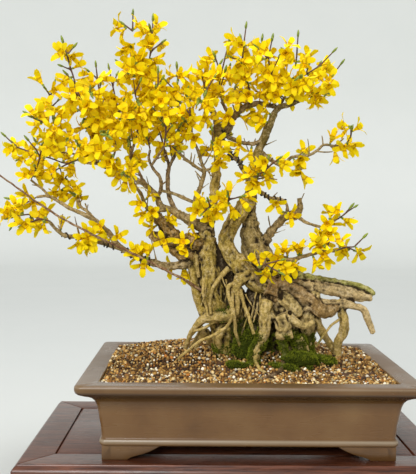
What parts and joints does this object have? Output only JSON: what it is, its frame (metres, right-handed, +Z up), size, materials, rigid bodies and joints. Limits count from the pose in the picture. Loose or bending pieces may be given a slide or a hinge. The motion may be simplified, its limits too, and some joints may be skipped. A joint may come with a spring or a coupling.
{
  "type": "forsythia bonsai",
  "caption": "Old forsythia bonsai in flower with twisted trunks and bare roots, in a rectangular clay pot with gravel soil, on a low wooden display stand.",
  "frame": {"origin": "middle of the underside of the object's box, on the ground under the stand's legs", "axes": "+Z up, +X to the right of the front, +Y to the back; the front is -Y"},
  "size_m": [0.7064, 0.366, 0.7404],
  "materials": {
    "bark": "rough bark and weathered deadwood",
    "flowering_shoots": "soft matt petals on thin twigs",
    "gravel": "coarse dry gravel",
    "moss": "soft green moss",
    "pot_clay": "unglazed, satin from handling",
    "stand_wood": "oiled hardwood with a soft shine",
    "training_wire": "dark anodised"
  },
  "bodies": {
    "root": {"rail_front": "stand_wood", "rail_back": "stand_wood", "rail_left": "stand_wood", "rail_right": "stand_wood", "panel": "stand_wood", "leg_front_left": "stand_wood", "leg_front_right": "stand_wood", "leg_back_left": "stand_wood", "leg_back_right": "stand_wood", "apron_front": "stand_wood", "apron_back": "stand_wood", "apron_left": "stand_wood", "apron_right": "stand_wood", "pot": "pot_clay", "soil": "gravel", "wood": "bark", "moss_front": "moss", "moss_middle": "moss", "wire_low": "training_wire", "wire_elbow": "training_wire", "spray_crown_a": "flowering_shoots", "spray_crown_b": "flowering_shoots", "spray_crown_c": "flowering_shoots", "spray_crown_d": "flowering_shoots", "spray_limb_left": "flowering_shoots", "spray_crown_e": "flowering_shoots", "spray_crown_f": "flowering_shoots", "spray_crown_g": "flowering_shoots", "spray_crown_h": "flowering_shoots", "spray_crown_i": "flowering_shoots", "spray_crown_j": "flowering_shoots", "spray_crown_k": "flowering_shoots", "spray_limb_left_spur": "flowering_shoots", "spray_limb_low": "flowering_shoots", "spray_limb_low_tip": "flowering_shoots", "spray_limb_low_front": "flowering_shoots", "spray_limb_low_rear": "flowering_shoots", "spray_limb_pale": "flowering_shoots", "spray_limb_pale_left": "flowering_shoots", "spray_limb_pale_right": "flowering_shoots", "spray_trunk_left": "flowering_shoots", "spray_trunk_middle": "flowering_shoots", "spray_crown_l": "flowering_shoots", "spray_crown_m": "flowering_shoots", "spray_crown_n": "flowering_shoots", "spray_crown_o": "flowering_shoots", "spray_crown_p": "flowering_shoots", "spray_crown_q": "flowering_shoots", "spray_crown_r": "flowering_shoots", "spray_crown_s": "flowering_shoots", "spray_crown_t": "flowering_shoots", "spray_limb_right_high": "flowering_shoots", "spray_limb_right_thin": "flowering_shoots", "spray_limb_right_fork": "flowering_shoots", "spray_limb_right_low": "flowering_shoots", "spray_limb_right_wired": "flowering_shoots", "spray_limb_front_short": "flowering_shoots", "spray_spur_neck": "flowering_shoots", "spray_spur_inner": "flowering_shoots", "spray_spur_low": "flowering_shoots"}
  },
  "joints": []
}
